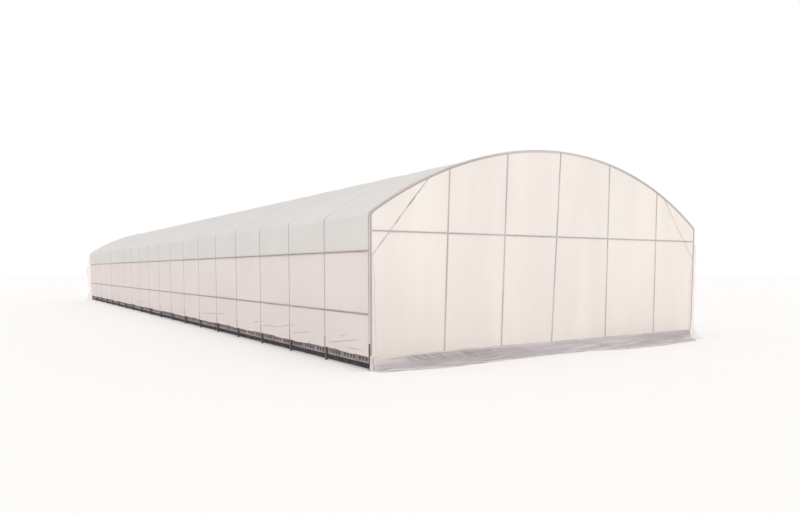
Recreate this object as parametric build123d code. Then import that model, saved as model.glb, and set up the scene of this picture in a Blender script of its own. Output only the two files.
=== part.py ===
from build123d import *
import math
import os

os.makedirs("parts", exist_ok=True)

# A film-covered tunnel greenhouse with straight legs and a round roof.
# X runs across the tunnel, Y along it with the front gable at -Y, and Z up
# from the ground. All sizes are in millimetres.

# Driving sizes of the tunnel
span = 8200.0  # across, between the middles of the legs
bay = 1500.0  # along, from hoop to hoop
bays = 19
eave_height = 2405.0  # where the leg's line and the roof's arc would meet
ridge_height = 3660.0  # middle of the tube at the top of the hoop
eave_bend_radius = 110.0

# Tubes
tube_width = 32.0
brace_width = 26.0
purlin_width = 26.0
socket_width = 42.0
socket_height = 420.0
tube_sides = 8
hoop_sides = 6
purlin_seat_gap = 0.4

# Channel rails that hold the film with a spring wire
rail_width = 30.0
rail_depth = 14.0
rail_wall = 3.0
end_rail_width = 42.0
lower_rail_height = 869.0
upper_rail_height = 1838.0
gable_rail_height = 2142.0

# Gable frame, as places across from the middle of the gable: some posts lean
post_foot_places = (-2700.0, -1455.0, -215.0, 1270.0, 2785.0)
post_head_places = (-2605.0, -1352.0, -60.0, 1290.0, 2780.0)
brace_foot_height = 1746.0
brace_head_place = 3018.0

# Film, far thicker than the real sheet so that it is a solid
film_thickness = 4.0
film_gap = 0.5

# Raised floor of hollow planks on low walls
plank_thickness = 120.0
planks_per_bay = 3
plank_joint = 5.0
plank_row_gap = 5.0
floor_end_margin = 30.0  # floor beyond the middle of an end hoop
plank_setback = 25.0  # plank ends behind the middle of the legs
wall_height = 100.0
wall_width = 240.0
wall_setback = 60.0  # low walls behind the edge of the planks

# Loose foot of the gable film
skirt_landing = 120.0  # where it meets the ground, out from the end hoop
skirt_waves = (100.0, 260.0, 150.0, 80.0, 80.0, 340.0, 290.0, 130.0)

# How finely the round lines of the inner hoops are divided into straight runs
roof_runs = 6
bend_runs = 3

# Worked out from the sizes above
half_span = span / 2
length = bay * bays
hoop_count = bays + 1
front_y = -length / 2
tube_radius = tube_width / 2
socket_radius = socket_width / 2
floor_top = wall_height + plank_thickness
rise = ridge_height - eave_height
roof_radius = (half_span**2 + rise**2) / (2 * rise)
roof_middle_z = ridge_height - roof_radius
bend_middle_x = half_span - eave_bend_radius
bend_middle_z = roof_middle_z + math.sqrt(
    (roof_radius - eave_bend_radius) ** 2 - bend_middle_x**2
)
# Angle at the roof's centre, from level, at which bend and roof meet
bend_angle = math.degrees(math.atan2(bend_middle_z - roof_middle_z, bend_middle_x))
outer_film_offset = socket_radius + film_gap
roof_film_offset = tube_radius + film_gap
floor_edge_y = front_y - floor_end_margin
plank_end_x = half_span - plank_setback


def roof_height(across, offset=0.0):
    """Height of the roof's arc at a place across, offset outwards from the hoop's middle."""
    return roof_middle_z + math.sqrt((roof_radius + offset) ** 2 - across**2)


def polar(middle_x, middle_z, radius, degrees):
    """Point on a circle across the tunnel."""
    angle = math.radians(degrees)
    return (middle_x + radius * math.cos(angle), middle_z + radius * math.sin(angle))


def half_outline(offset, foot_z):
    """Right half of the hoop's line from its foot to the ridge, offset outwards."""
    leg_x = half_span + offset
    bend = eave_bend_radius + offset
    roof = roof_radius + offset
    leg = Line((leg_x, foot_z), (leg_x, bend_middle_z))
    eave = ThreePointArc(
        (leg_x, bend_middle_z),
        polar(bend_middle_x, bend_middle_z, bend, bend_angle / 2),
        polar(0, roof_middle_z, roof, bend_angle),
    )
    crown = ThreePointArc(
        polar(0, roof_middle_z, roof, bend_angle),
        polar(0, roof_middle_z, roof, (bend_angle + 90) / 2),
        (0, roof_middle_z + roof),
    )
    return [leg, eave, crown]


def full_outline(offset, foot_z):
    """The whole hoop's line, foot to foot."""
    right = half_outline(offset, foot_z)
    left = [mirror(edge, Plane.YZ) for edge in right]
    return right + left


def arch_band(inner, outer, foot_z):
    """Flat band between two offsets of the hoop's line, drawn in X and Y."""
    feet = [
        Line((side * (half_span + inner), foot_z), (side * (half_span + outer), foot_z))
        for side in (1, -1)
    ]
    return make_face(full_outline(inner, foot_z) + full_outline(outer, foot_z) + feet)


def arch_area(offset, foot_z):
    """Everything under the hoop's line, down to a level foot, drawn in X and Y."""
    reach = half_span + offset
    return make_face(full_outline(offset, foot_z) + [Line((-reach, foot_z), (reach, foot_z))])


def along_tunnel(flat, start_y, depth):
    """Stand a flat shape across the tunnel and extrude it towards +Y."""
    upright = Plane((0, start_y, 0), x_dir=(1, 0, 0), z_dir=(0, -1, 0))
    return extrude(upright * flat, -depth)


def tube_section(width):
    """Tube section with flat faces towards the four sides."""
    return RegularPolygon(width / 2, tube_sides, major_radius=False, rotation=180 / tube_sides)


def hoop_section():
    """Section of a hoop's tube, with one corner outwards and one inwards."""
    return RegularPolygon(tube_radius, hoop_sides)


def box_between(low, high):
    """Upright block between two corners."""
    size = [b - a for a, b in zip(low, high)]
    middle = [(a + b) / 2 for a, b in zip(low, high)]
    return Pos(*middle) * Box(*size)


def both_ways(shape):
    """A piece and its mirror image on the other side of the tunnel."""
    return [shape, mirror(shape, Plane.YZ)]


def save(name, pieces):
    """Write one node, of one solid or of several that don't touch."""
    solids = pieces if isinstance(pieces, list) else [pieces]
    export_step(Compound(children=[solid.solid() for solid in solids]), f"parts/{name}.step")


# Hoops: each is two bent tubes that meet at the ridge
def round_half_hoop():
    """Right half of an end hoop, bent in true arcs."""
    upright = Plane((0, 0, 0), x_dir=(1, 0, 0), z_dir=(0, -1, 0))
    path = Wire([upright * edge for edge in half_outline(0, socket_height)])
    foot = Plane((half_span, 0, socket_height), z_dir=(0, 0, 1))
    return sweep(foot * hoop_section(), path=path, transition=Transition.RIGHT)


def plain_half_hoop():
    """Right half of an inner hoop, its arcs divided into straight runs."""
    bend_turn = bend_angle / bend_runs
    roof_turn = (90 - bend_angle) / roof_runs
    points = [(half_span, socket_height), (half_span, bend_middle_z)]
    for run in range(1, bend_runs):
        points.append(polar(bend_middle_x, bend_middle_z, eave_bend_radius, bend_turn * run))
    for run in range(roof_runs + 1):
        points.append(polar(0, roof_middle_z, roof_radius, bend_angle + roof_turn * run))
    path = Polyline(*[(x, 0, z) for x, z in points])
    foot = Plane((half_span, 0, socket_height), z_dir=(0, 0, 1))
    bent = sweep(foot * hoop_section(), path=path, transition=Transition.RIGHT)
    keep = box_between((0, -span, 0), (span, span, span))
    return bent & keep


end_half = round_half_hoop()
inner_half = plain_half_hoop()
hoop_places = [front_y + bay * number for number in range(hoop_count)]
save("front_end_hoop", [Pos(0, hoop_places[0], 0) * half for half in both_ways(end_half)])
save("back_end_hoop", [Pos(0, hoop_places[-1], 0) * half for half in both_ways(end_half)])
for first in range(1, hoop_count - 1, 2):
    pair = range(first, min(first + 2, hoop_count - 1))
    halves = []
    for number in pair:
        halves += [Pos(0, hoop_places[number], 0) * half for half in both_ways(inner_half)]
    numbers = "_".join(f"{number + 1:02d}" for number in pair)
    save(f"inner_hoops_{numbers}", halves)


# Sockets driven into the ground, in which the legs stand
def ground_sockets(side):
    """The row of sockets along one side."""
    socket = extrude(tube_section(socket_width), socket_height)
    return [Pos(side * half_span, place, 0) * socket for place in hoop_places]


save("left_ground_sockets", ground_sockets(-1))
save("right_ground_sockets", ground_sockets(1))

# Ridge tube, hung under the tops of the hoops
purlin_z = ridge_height - tube_radius - purlin_seat_gap - purlin_width / 2
purlin_length = length - tube_width
purlin = Plane((0, -purlin_length / 2, purlin_z), z_dir=(0, 1, 0)) * tube_section(purlin_width)
save("ridge_purlin", extrude(purlin, purlin_length))


# Film rails
def rail_section():
    """Channel open towards +X, its back on the YZ plane."""
    outer = Pos(rail_depth / 2, 0) * Rectangle(rail_depth, rail_width)
    groove_depth = rail_depth - rail_wall
    groove = Pos(rail_wall + groove_depth / 2, 0) * Rectangle(groove_depth, rail_width - 2 * rail_wall)
    return outer - groove


end_rail_inner_edge = end_rail_width - outer_film_offset - film_thickness
side_rail_length = length - 2 * end_rail_inner_edge


def side_rail(height):
    """Rail along the right side, against the outside of the legs."""
    start = Pos(half_span + tube_radius, height) * rail_section()
    return along_tunnel(start, -side_rail_length / 2, side_rail_length)


for level, height in (("upper", upper_rail_height), ("lower", lower_rail_height)):
    right_rail, left_rail = both_ways(side_rail(height))
    save(f"left_{level}_film_rail", left_rail)
    save(f"right_{level}_film_rail", right_rail)


def end_rail():
    """Rail over the front hoop, from one socket over the ridge to the other."""
    band = arch_band(tube_radius, tube_radius + rail_depth, socket_height)
    return along_tunnel(band, front_y - outer_film_offset - film_thickness, end_rail_width)


front_end_rail = end_rail()
save("front_end_rail", front_end_rail)
save("back_end_rail", mirror(front_end_rail, Plane.XZ))


def gable_rail():
    """Level rail across the front gable, on the outside of its posts."""
    start = Plane((-half_span - tube_radius, front_y - tube_radius, gable_rail_height),
                  x_dir=(0, -1, 0), z_dir=(1, 0, 0))
    return extrude(start * rail_section(), span + tube_width)


front_gable_rail = gable_rail()
save("front_gable_rail", front_gable_rail)
save("back_gable_rail", mirror(front_gable_rail, Plane.XZ))


# Gable frames
def gable_bar(foot_x, foot_z, head_x, width):
    """Straight bar of the front gable, up to the hoop, trimmed to the floor and the hoop's inside."""
    foot = Vector(foot_x, front_y, foot_z)
    head = Vector(head_x, front_y, roof_height(head_x))
    start = Plane(foot, x_dir=(0, 1, 0), z_dir=head - foot)
    bar = extrude(start * tube_section(width), (head - foot).length)
    inside = along_tunnel(arch_area(-tube_radius, floor_top), front_y - bay / 2, bay)
    return bar & inside


def gable_posts():
    """Posts of the front gable, from the floor to the underside of the hoop."""
    return [
        gable_bar(foot_x, floor_top - tube_width, head_x, tube_width)
        for foot_x, head_x in zip(post_foot_places, post_head_places)
    ]


def knee_brace():
    """Right slanting brace of the front gable, from the leg to the roof."""
    return gable_bar(half_span, brace_foot_height, brace_head_place, brace_width)


front_posts = gable_posts()
front_braces = both_ways(knee_brace())
save("front_gable_posts", front_posts)
save("back_gable_posts", [mirror(post, Plane.XZ) for post in front_posts])
save("front_knee_braces", front_braces)
save("back_knee_braces", [mirror(brace, Plane.XZ) for brace in front_braces])

# Film over the roof and down to the upper side rails, one sheet
film_length = side_rail_length
half_rail = rail_width / 2
roof_band = arch_band(roof_film_offset, roof_film_offset + film_thickness, upper_rail_height + half_rail)
save("roof_film", along_tunnel(roof_band, -film_length / 2, film_length))


def side_film(offset, low, high):
    """Flat film along the right side between two heights."""
    inner = half_span + offset
    return box_between((inner, -film_length / 2, low), (inner + film_thickness, film_length / 2, high))


right_vent, left_vent = both_ways(
    side_film(roof_film_offset, lower_rail_height + half_rail, upper_rail_height - half_rail)
)
right_apron, left_apron = both_ways(
    side_film(outer_film_offset, floor_top, lower_rail_height - half_rail)
)
save("left_vent_film", left_vent)
save("right_vent_film", right_vent)
save("left_apron_film", left_apron)
save("right_apron_film", right_apron)

# Film of the gables, above and below the level rail
gable_film_y = front_y - outer_film_offset - film_thickness
upper_gable = along_tunnel(
    arch_area(tube_radius, gable_rail_height + half_rail), gable_film_y, film_thickness
)
gable_reach = half_span + tube_radius
lower_gable = box_between(
    (-gable_reach, gable_film_y, floor_top + film_thickness),
    (gable_reach, gable_film_y + film_thickness, gable_rail_height - half_rail),
)
save("front_upper_gable_film", upper_gable)
save("back_upper_gable_film", mirror(upper_gable, Plane.XZ))
save("front_lower_gable_film", lower_gable)
save("back_lower_gable_film", mirror(lower_gable, Plane.XZ))


def ground_skirt():
    """Foot of the front gable film: over the floor's edge, down and out on the ground."""
    inner = front_y - outer_film_offset
    edge = floor_edge_y - film_thickness
    landing = front_y - skirt_landing
    out = front_y - skirt_landing - max(skirt_waves)
    profile = make_face(Polyline(
        (inner, floor_top), (edge, floor_top), (landing, 0), (out, 0), (out, film_thickness),
        (landing - film_thickness, film_thickness), (edge - film_thickness, floor_top + film_thickness),
        (inner, floor_top + film_thickness), (inner, floor_top),
    ))
    start = Plane((-plank_end_x, 0, 0), x_dir=(0, 1, 0), z_dir=(1, 0, 0))
    sheet = extrude(start * profile, 2 * plank_end_x)
    step = 2 * plank_end_x / (len(skirt_waves) - 1)
    waves = [(-plank_end_x + step * k, landing - reach) for k, reach in enumerate(skirt_waves)]
    outline = make_face([
        Polyline(*waves),
        Line(waves[-1], (plank_end_x, front_y)),
        Line((plank_end_x, front_y), (-plank_end_x, front_y)),
        Line((-plank_end_x, front_y), waves[0]),
    ])
    return sheet & extrude(outline, floor_top + 2 * film_thickness)


front_skirt = ground_skirt()
save("front_ground_skirt", front_skirt)
save("back_ground_skirt", mirror(front_skirt, Plane.XZ))


# Floor
def floor_planks():
    """Right row of planks, from the middle of the tunnel to the legs."""
    count = bays * planks_per_bay
    pitch = -2 * floor_edge_y / count
    low_x = plank_row_gap / 2
    planks = []
    for number in range(count):
        low_y = floor_edge_y + pitch * number + plank_joint / 2
        high_y = low_y + pitch - plank_joint
        planks.append(box_between((low_x, low_y, wall_height), (plank_end_x, high_y, floor_top)))
    return planks


right_planks = floor_planks()
save("right_floor_planks", right_planks)
save("left_floor_planks", [mirror(plank, Plane.YZ) for plank in right_planks])

wall_outer_x = plank_end_x - wall_setback
wall_inner_x = wall_outer_x - wall_width
wall_outer_y = -floor_edge_y - wall_setback
wall_inner_y = wall_outer_y - wall_width
side_wall = box_between((wall_inner_x, -wall_outer_y, 0), (wall_outer_x, wall_outer_y, wall_height))
end_wall = box_between((-wall_inner_x, -wall_outer_y, 0), (wall_inner_x, -wall_inner_y, wall_height))
middle_wall = box_between(
    (-wall_width / 2, -wall_inner_y, 0), (wall_width / 2, wall_inner_y, wall_height)
)
save("right_base_wall", side_wall)
save("left_base_wall", mirror(side_wall, Plane.YZ))
save("front_base_wall", end_wall)
save("back_base_wall", mirror(end_wall, Plane.XZ))
save("middle_base_wall", middle_wall)
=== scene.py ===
import bmesh
import bpy
import math
import numpy as np
from mathutils import Matrix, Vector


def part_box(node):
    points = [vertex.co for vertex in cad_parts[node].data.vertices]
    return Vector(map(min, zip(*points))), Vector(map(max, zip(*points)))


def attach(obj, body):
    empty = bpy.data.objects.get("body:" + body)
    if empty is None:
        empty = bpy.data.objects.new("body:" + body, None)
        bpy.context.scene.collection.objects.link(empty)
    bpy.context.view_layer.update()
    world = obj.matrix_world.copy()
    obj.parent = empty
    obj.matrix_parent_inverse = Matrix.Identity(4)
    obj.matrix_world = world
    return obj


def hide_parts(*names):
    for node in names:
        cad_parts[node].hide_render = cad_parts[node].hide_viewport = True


# A film tunnel: bent hoops in ground sockets, channel rails with spring wire, milky film, and a floor of
# hollow planks. X runs across, Y along with the front gable at -Y, and Z up from the ground, in metres.

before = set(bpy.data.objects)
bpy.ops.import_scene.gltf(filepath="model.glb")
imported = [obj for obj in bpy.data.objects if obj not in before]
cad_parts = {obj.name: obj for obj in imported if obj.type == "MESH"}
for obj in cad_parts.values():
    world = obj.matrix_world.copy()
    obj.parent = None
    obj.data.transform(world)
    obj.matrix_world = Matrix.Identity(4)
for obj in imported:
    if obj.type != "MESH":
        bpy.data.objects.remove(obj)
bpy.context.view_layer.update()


def node_box(node):
    """Lowest and highest corner of a node, as arrays."""
    low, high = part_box(node)
    return np.array(low), np.array(high)


def node_middle(node):
    """Middle of a node's box."""
    return sum(node_box(node)) / 2


# Sizes that the frame doesn't give
BAYS = 19
TUBE_RADIUS = 0.016
BRACE_RADIUS = 0.013
PURLIN_RADIUS = 0.013
SOCKET_RADIUS = 0.021
SOCKET_WALL = 0.003
EAVE_HEIGHT = 2.405  # where the leg's line and the roof's arc would meet
EAVE_BEND_RADIUS = 0.11
FILM_LIFT = 0.003  # film clear of what it lies on
POST_FEET = (-2.7, -1.455, -0.215, 1.27, 2.785)
POST_HEADS = (-2.605, -1.352, -0.06, 1.29, 2.78)
BRACE_FOOT_HEIGHT = 1.746
BRACE_HEAD_PLACE = 3.018

# Hoops, their joints and sockets, and the ridge tube's clamps
TUBE_IN_SOCKET = 0.05
SLEEVE_REACH = 0.09  # to each side of the ridge
SLEEVE_WALL = 0.0018
RIDGE_BOLT_PLACE = 0.06
RIDGE_BOLT_REACH = TUBE_RADIUS + 0.006
RIDGE_BOLT_RADIUS = 0.004
SOCKET_BOLT_DROP = 0.045
SOCKET_BOLT_ENDS = (-0.03, 0.019)  # inwards and outwards of the leg's middle
SOCKET_BOLT_RADIUS = 0.005
SOCKET_RIM_BEVEL = 0.001
BOLT_SIDES = 6
CLAMP_WIRE_RADIUS = 0.0025
CLAMP_LOOP_RADIUS = PURLIN_RADIUS + 0.003
CLAMP_OFF_HOOP = TUBE_RADIUS + 0.004
CLAMP_LAP = 0.2  # how far past half a turn each end goes, as an angle
ROOF_POINTS, BEND_POINTS, LEG_POINTS = 57, 8, 12
LEAST_STEP = 0.005  # between the last two points along the arch

# Gable posts
POST_IN_HOOP = 0.004
POST_PLATE_RADIUS = 0.032
POST_PLATE_THICKNESS = 0.004

# Channel rails and their spring wire. The section is h across the rail and d out from its back.
RAIL_SECTION = np.array([(-15.0, 14.0), (-15.0, 12.6), (-9.0, 12.0), (-12.0, 0.0), (12.0, 0.0), (9.0, 12.0),
                         (15.0, 12.6), (15.0, 14.0), (7.6, 13.2), (10.4, 1.4), (-10.4, 1.4),
                         (-7.6, 13.2)]) / 1000
WIRE_PITCH = 0.08
WIRE_RADIUS = 0.0013
WIRE_REACH = 0.0085
WIRE_DEPTH = 0.0105
WIRE_END_SHARE = 0.002  # of a straight rail's length, left free at each end
END_WIRE_SPREAD = 1.3  # against the straight rails' wire
END_WIRE_GAP = 0.02

# Film
STEPS_PER_BAY = 12

# Painted shadows of thin straight creases near the foot of the side film, as y and z of their back and front
# ends
APRON_CREASE_SHADOWS = [
    ((-12.82, 0.31), (-14.18, 0.49)), ((-11.31, 0.35), (-12.4, 0.46)), ((-10.72, 0.43), (-11.72, 0.54)),
    ((-13.23, 0.45), (-13.71, 0.52)), ((-9.22, 0.42), (-10.04, 0.49)), ((-13.47, 0.29), (-14.21, 0.31)),
    ((-9.8, 0.39), (-11.02, 0.43)), ((-5.4, 0.4), (-7.6, 0.5)), ((3.1, 0.38), (1.2, 0.45)),
]

# How far the loose foot reaches out on the ground, at even steps from left to right
SKIRT_REACHES = (0.10, 0.26, 0.15, 0.07, 0.08, 0.33, 0.28, 0.12)
SKIRT_LEAST_REACH = 0.02
SKIRT_OFF_PLANKS = 0.004
SKIRT_LANDING = (0.04, 0.08)  # off the gable's plane at the ends, and how much more between them
SKIRT_END = 0.12  # length over which the foot comes in to the leg
SKIRT_LIFT = 0.003  # off the ground
SKIRT_BEND = 0.05  # length over which it turns from the slope to the ground
ROLL_PLACE, ROLL_WIDTH, ROLL_HEIGHT = 0.022, 0.015, 0.018

# Height and width of the loose flaps at two corners
FRONT_FLAP_WIDTHS = [(2.05, 0.008), (1.85, 0.05), (1.72, 0.07), (1.6, 0.03), (1.2, 0.045), (0.6, 0.05),
                     (0.22, 0.06), (0.15, 0.13), (0.1, 0.18), (0.04, 0.2), (0.0, 0.2)]
BACK_FLAP_WIDTHS = [(2.35, 0.01), (2.1, 0.12), (1.75, 0.22), (1.4, 0.23), (1.1, 0.15), (0.7, 0.12),
                    (0.4, 0.14), (0.15, 0.2), (0.0, 0.22)]
HEM_TOP = 1.76
HEM_INSIDE = 0.014  # its outer edge lies inwards of the leg's middle

# Floor and low walls
PLANKS_PER_BAY = 3
PLANK_JOINT = 0.005
CORE_RADIUS = 0.0375
CORE_PITCH = 0.103
CORES_PER_PLANK = 4
CORE_DEPTH = 0.6
CORE_SIDES = 16
BLOCK_LENGTH = 0.4
BLOCK_JOINT = 0.012
BLOCK_UNEVENNESS = 0.008

# Camera, light and studio floor
CAMERA_PLACE = (-9.127, -22.721, 1.558)
CAMERA_TURN = -0.566  # from +Y, towards +X
CAMERA_RISE = -0.0783
CAMERA_ROLL = -0.0022
FOCAL_PIXELS = 646.7
PHOTO_WIDTH, PHOTO_HEIGHT = 800, 513
MIDDLE_PIXEL = (390, 320)
VIEW_END = 500
WHITE = (1, 1, 1, 1)
SKY_STRENGTH = 0.92
LAMP_STRENGTH = 1.2
LAMP_TINT = (1.0, 0.975, 0.95)
LAMP_WIDTH, LAMP_TILT, LAMP_TURN = math.radians(50), math.radians(52), math.radians(-35)
STUDIO_REACH = 140.0

# Sizes read from the frame
hoop_low, hoop_high = node_box("front_end_hoop")
front_y = node_middle("front_end_hoop")[1]
back_y = node_middle("back_end_hoop")[1]
bay = (back_y - front_y) / BAYS
hoop_places = front_y + bay * np.arange(BAYS + 1)
half_span = hoop_high[0] - TUBE_RADIUS
ridge_height = hoop_high[2] - TUBE_RADIUS
socket_top = hoop_low[2]
plank_low, plank_high = node_box("right_floor_planks")
floor_top = plank_high[2]
upper_rail_height = node_middle("right_upper_film_rail")[2]
lower_rail_height = node_middle("right_lower_film_rail")[2]
gable_rail_height = node_middle("front_gable_rail")[2]
rail_low, rail_high = node_box("right_upper_film_rail")
half_rail = (rail_high[2] - rail_low[2]) / 2
rail_end_y = rail_high[1]

# The hoop's line: roof arc, eave bend and leg
rise = ridge_height - EAVE_HEIGHT
roof_radius = (half_span**2 + rise**2) / (2 * rise)
roof_middle_z = ridge_height - roof_radius
bend_middle_x = half_span - EAVE_BEND_RADIUS
bend_middle_z = roof_middle_z + math.sqrt((roof_radius - EAVE_BEND_RADIUS) ** 2 - bend_middle_x**2)
roof_angle = math.atan2(bend_middle_x, bend_middle_z - roof_middle_z)
roof_run = roof_radius * roof_angle
bend_end_run = roof_run + EAVE_BEND_RADIUS * (math.pi / 2 - roof_angle)

ALONG = np.array([0.0, 1.0, 0.0])
UP = np.array([0.0, 0.0, 1.0])
SIDES = (("left", -1), ("right", 1))


def arch(run, offset=0.0):
    """x and z at a run along the hoop's line, measured from the ridge and signed by side, moved outwards.

    Up to roof_run it is a circle about (0, roof_middle_z), then one about the eave's middle, then a
    straight leg. At an angle a from upright the outward direction is (sin a, cos a).
    """
    run = np.asarray(run, float)
    far = np.abs(run)
    on_roof = far < roof_run
    angle = np.where(on_roof, far / roof_radius, roof_angle + (far - roof_run) / EAVE_BEND_RADIUS)
    angle = np.minimum(angle, math.pi / 2)
    radius = np.where(on_roof, roof_radius, EAVE_BEND_RADIUS) + offset
    x = np.where(on_roof, 0, bend_middle_x) + radius * np.sin(angle)
    drop = np.maximum(far - bend_end_run, 0)
    z = np.where(on_roof, roof_middle_z, bend_middle_z) + radius * np.cos(angle) - drop
    return np.sign(run) * x, z


def arch_points(run, y, offset=0.0):
    """Points of the hoop's line at a run, moved outwards, with their places along the tunnel."""
    x, z = arch(run, offset)
    return np.stack([x, np.broadcast_to(y, x.shape), z], axis=-1)


def run_down_to(height):
    """Run from the ridge to a height on the leg."""
    return bend_end_run + bend_middle_z - height


def runs_to(reach):
    """Runs over the arch from -reach to reach, closer together round the eaves."""
    bend = np.linspace(roof_run, bend_end_run, BEND_POINTS)[1:]
    leg = np.linspace(bend_end_run, run_down_to(0), LEG_POINTS)[1:]
    one_side = np.concatenate([bend, leg])
    steps = np.concatenate([-one_side[::-1], np.linspace(-roof_run, roof_run, ROOF_POINTS), one_side])
    inside = steps[np.abs(steps) < reach - LEAST_STEP]
    return np.concatenate([[-reach], inside, [reach]])


def roof_height(x, offset=0.0):
    """Height of the roof's arc at a place across."""
    return roof_middle_z + np.sqrt((roof_radius + offset) ** 2 - np.asarray(x, float) ** 2)


def circle(sides):
    """Cosine and sine at even steps of a full turn, as two columns."""
    angles = 2 * math.pi * np.arange(sides) / sides
    return np.stack([np.cos(angles), np.sin(angles)], axis=1)


def add_object(name, data):
    """A new object of the scene."""
    made = bpy.data.objects.new(name, data)
    bpy.context.collection.objects.link(made)
    return made


class Shape:
    """Gathers grids of points and makes one mesh of them."""

    def __init__(self):
        self.points = []
        self.faces = []
        self.count = 0

    def grid(self, points, round_u=False, round_v=False):
        """Quads between neighbours of a grid points[u, v], closed to the first row or column where round."""
        nu, nv = points.shape[:2]
        number = self.count + np.arange(nu * nv).reshape(nu, nv)
        u = np.arange(nu if round_u else nu - 1)
        v = np.arange(nv if round_v else nv - 1)
        next_u, next_v = (u + 1) % nu, (v + 1) % nv
        corners = [number[np.ix_(*pair)] for pair in ((u, v), (next_u, v), (next_u, next_v), (u, next_v))]
        self.points.append(points.reshape(-1, 3))
        self.faces += np.stack(corners, axis=-1).reshape(-1, 4).tolist()
        self.count += nu * nv

    def swept(self, rings):
        """Closed skin over rings[u, v], with a flat face at each end."""
        number, sides = rings.shape[:2]
        first = self.count
        self.grid(rings, round_v=True)
        self.faces.append(list(range(first, first + sides)))
        self.faces.append(list(range(first + (number - 1) * sides, first + number * sides)))

    def tube(self, path, radius, across, sides=12):
        """Round bar along a path in one plane, closed at its ends.

        Each ring is path + radius (cos a n + sin a b), with b across the path's plane and n at right
        angles to b and to the path.
        """
        path = np.asarray(path, float)
        ahead = np.gradient(path, axis=0)
        ahead /= np.linalg.norm(ahead, axis=1, keepdims=True)
        beside = np.cross(across, ahead)
        cosine, sine = circle(sides).T[:, None, :, None]
        self.swept(path[:, None, :] + radius * (cosine * beside[:, None, :] + sine * across))

    def turned(self, middle, outline, sides=14):
        """Body turned about an upright line: each (r, z) of its outline is a ring of radius r at height z."""
        rings = [np.insert(middle + r * circle(sides), 2, z, axis=1) for r, z in outline]
        self.grid(np.array(rings), round_u=True, round_v=True)

    def box(self, low, high):
        """Block between two corners."""
        x, y, z = zip(low, high)
        rings = [[[a, y[0], z[0]], [a, y[1], z[0]], [a, y[1], z[1]], [a, y[0], z[1]]] for a in x]
        self.swept(np.array(rings))

    def piece(self, name, material, slot, nodes=(), closed=True, bend_limit=40, relief=None):
        """The gathered shape as one object that rides on the tunnel and stands for some nodes.

        It is smooth where it bends by less than bend_limit degrees. relief is a number for each point,
        for a material to read.
        """
        mesh = bpy.data.meshes.new(name)
        mesh.from_pydata(np.concatenate(self.points).tolist(), [], self.faces)
        if closed:
            work = bmesh.new()
            work.from_mesh(mesh)
            bmesh.ops.recalc_face_normals(work, faces=work.faces)
            work.to_mesh(mesh)
            work.free()
        mesh.polygons.foreach_set("use_smooth", np.ones(len(mesh.polygons), bool))
        mesh.set_sharp_from_angle(angle=math.radians(bend_limit))
        mesh.materials.append(material)
        if relief is not None:
            heights = mesh.attributes.new("relief", "FLOAT", "POINT")
            heights.data.foreach_set("value", np.asarray(relief, np.float32).ravel())
        made = add_object(name, mesh)
        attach(made, "root")
        if nodes:
            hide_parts(*nodes)
        return made


def open_sheet(name, points, material, slot, nodes=(), relief=None):
    """Sheet without thickness over a grid of points, smooth all over."""
    shape = Shape()
    shape.grid(points)
    return shape.piece(name, material, slot, nodes, closed=False, bend_limit=180, relief=relief)


# Shaders
def colour(red, green, blue):
    """A colour from screen values of 0 to 255, as the light values that a shader takes."""
    screen = np.array([red, green, blue]) / 255
    light = np.where(screen <= 0.04045, screen / 12.92, ((screen + 0.055) / 1.055) ** 2.4)
    return (*light.tolist(), 1.0)


class Value:
    """A node's output on which sums are written: each operator adds the Math node that it stands for."""

    def __init__(self, nodes, socket):
        self.nodes = nodes
        self.socket = socket

    def maths(self, operation, *terms):
        return self.nodes.node("ShaderNodeMath", {"operation": operation}, dict(enumerate(terms)))

    def __add__(self, other):
        return self.maths("ADD", self, other)

    __radd__ = __add__

    def __sub__(self, other):
        return self.maths("SUBTRACT", self, other)

    def __rsub__(self, other):
        return self.maths("SUBTRACT", other, self)

    def __mul__(self, other):
        return self.maths("MULTIPLY", self, other)

    __rmul__ = __mul__

    def __abs__(self):
        return self.maths("ABSOLUTE", self)

    def root(self):
        return self.maths("SQRT", self)

    def nearest_whole(self):
        return self.maths("ROUND", self)

    def lower_of(self, other):
        return self.maths("MINIMUM", self, other)

    def higher_of(self, other):
        return self.maths("MAXIMUM", self, other)

    def rising(self, start, end):
        """0 up to start, 1 from end on, and smooth between. It falls where start is above end."""
        sizes = {"Value": self, "From Min": min(start, end), "From Max": max(start, end)}
        step = self.nodes.node("ShaderNodeMapRange", {"interpolation_type": "SMOOTHSTEP"}, sizes)
        return step if start < end else 1 - step


class Nodes:
    """The shader nodes of a material or of the world."""

    def __init__(self, owner):
        owner.use_nodes = True
        self.tree = owner.node_tree

    def node(self, kind, settings=None, inputs=None, output=0):
        """A node of a kind, with its settings made first, then its sockets given values or links."""
        made = self.tree.nodes.new(kind)
        for name, value in (settings or {}).items():
            setattr(made, name, value)
        for name, value in (inputs or {}).items():
            self.fill(made.inputs[name], value)
        return Value(self, made.outputs[output])

    def fill(self, socket, value):
        """Link a value to a socket, or set a number or a colour on it."""
        if isinstance(value, Value):
            self.tree.links.new(value.socket, socket)
        else:
            socket.default_value = value


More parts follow.
